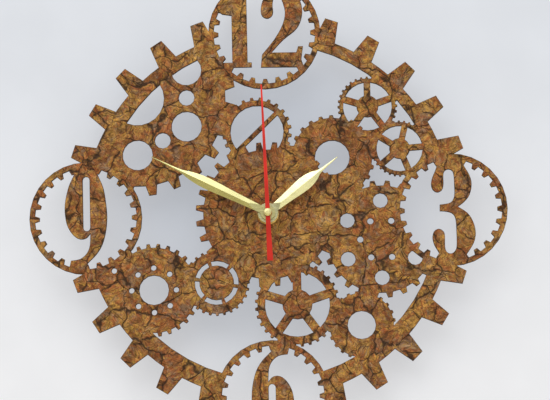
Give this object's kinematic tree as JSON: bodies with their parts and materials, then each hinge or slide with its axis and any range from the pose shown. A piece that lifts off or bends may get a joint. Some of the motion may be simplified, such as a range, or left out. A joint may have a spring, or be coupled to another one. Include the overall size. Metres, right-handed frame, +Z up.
{
  "type": "gear pattern wall clock",
  "caption": "Flat laser-cut wall clock: gear-pattern sheet with toothed rim and numeral rings, faceted hour and minute hands, red second hand, quartz movement behind.",
  "frame": {"origin": "on the hands' axis, at the wall that the movement's rear cover rests on", "axes": "+Y into the wall, so the dial faces -Y; +X to the right as seen from the front; +Z up"},
  "size_m": [0.3, 0.0339, 0.3],
  "materials": {
    "dial_panel": "crackled rust-brown coat with dark laser-cut edges",
    "front_case": "black moulded plastic",
    "rear_cover": "black moulded plastic",
    "middle_plate": "white moulded plastic",
    "hex_nut": "plain brass",
    "brass_washer": "plain brass",
    "rubber_washer": "black rubber",
    "threaded_bushing": "plain brass",
    "battery": "plain grey sleeve",
    "positive_contact": "nickel plated spring strip",
    "negative_contact": "nickel plated spring strip",
    "circuit_board": "green lacquer",
    "timing_chip": "black potting",
    "quartz_crystal": "bright can",
    "stator": "bare sheet",
    "coil_core": "bare sheet",
    "coil_bobbin": "white moulded plastic",
    "coil_winding": "varnished copper wire",
    "minute_hand": "pale gold, polished facets",
    "centre_wheel": "plain brass",
    "hour_hand": "pale gold, polished facets",
    "hour_wheel": "white moulded plastic",
    "second_hand": "red paint",
    "second_hand_collet": "polished gold",
    "second_wheel": "white moulded plastic",
    "third_wheel": "white moulded plastic",
    "fifth_wheel": "white moulded plastic",
    "rotor_pinion": "white moulded plastic",
    "rotor_magnet": "dark sintered magnet",
    "minute_wheel": "white moulded plastic",
    "set_knob": "black moulded plastic"
  },
  "bodies": {
    "movement_and_dial": {"dial_panel": "dial_panel", "front_case": "front_case", "rear_cover": "rear_cover", "middle_plate": "middle_plate", "hex_nut": "hex_nut", "brass_washer": "brass_washer", "rubber_washer": "rubber_washer", "threaded_bushing": "threaded_bushing", "battery": "battery", "positive_contact": "positive_contact", "negative_contact": "negative_contact", "circuit_board": "circuit_board", "timing_chip": "timing_chip", "quartz_crystal": "quartz_crystal", "stator": "stator", "coil_core": "coil_core", "coil_bobbin": "coil_bobbin", "coil_winding": "coil_winding"},
    "minute": {"minute_hand": "minute_hand", "centre_wheel": "centre_wheel"},
    "hour": {"hour_hand": "hour_hand", "hour_wheel": "hour_wheel"},
    "second": {"second_hand": "second_hand", "second_hand_collet": "second_hand_collet", "second_wheel": "second_wheel"},
    "third": {"third_wheel": "third_wheel"},
    "fifth": {"fifth_wheel": "fifth_wheel"},
    "rotor": {"rotor_pinion": "rotor_pinion", "rotor_magnet": "rotor_magnet"},
    "motion_work": {"minute_wheel": "minute_wheel"},
    "knob": {"set_knob": "set_knob"}
  },
  "joints": [
    {"name": "minute_spin", "type": "hinge", "parent": "movement_and_dial", "child": "minute", "pos_m": [0, 0, 0], "axis": [0, 1, 0], "continuous": true},
    {"name": "hour_spin", "type": "hinge", "parent": "movement_and_dial", "child": "hour", "pos_m": [0, 0, 0], "axis": [0, 1, 0], "continuous": true},
    {"name": "second_spin", "type": "hinge", "parent": "movement_and_dial", "child": "second", "pos_m": [0, 0, 0], "axis": [0, 1, 0], "continuous": true},
    {"name": "third_spin", "type": "hinge", "parent": "movement_and_dial", "child": "third", "pos_m": [-0.00972, 0, 0], "axis": [0, 1, 0], "continuous": true},
    {"name": "fifth_spin", "type": "hinge", "parent": "movement_and_dial", "child": "fifth", "pos_m": [0.0084, 0, 0], "axis": [0, 1, 0], "continuous": true},
    {"name": "rotor_spin", "type": "hinge", "parent": "movement_and_dial", "child": "rotor", "pos_m": [0.01517, 0, 0.00246], "axis": [0, 1, 0], "continuous": true},
    {"name": "motion_work_spin", "type": "hinge", "parent": "movement_and_dial", "child": "motion_work", "pos_m": [0, 0, 0.00864], "axis": [0, 1, 0], "continuous": true},
    {"name": "knob_spin", "type": "hinge", "parent": "movement_and_dial", "child": "knob", "pos_m": [0.00432, 0, 0.01612], "axis": [0, 1, 0], "continuous": true}
  ],
  "couplings": [
    {"joint": "hour_spin", "follows": "minute_spin", "ratio": 0.083333},
    {"joint": "second_spin", "follows": "minute_spin", "ratio": 60},
    {"joint": "third_spin", "follows": "minute_spin", "ratio": -8},
    {"joint": "fifth_spin", "follows": "minute_spin", "ratio": -360},
    {"joint": "rotor_spin", "follows": "minute_spin", "ratio": 1800},
    {"joint": "motion_work_spin", "follows": "minute_spin", "ratio": -0.33333},
    {"joint": "knob_spin", "follows": "minute_spin", "ratio": 1}
  ]
}
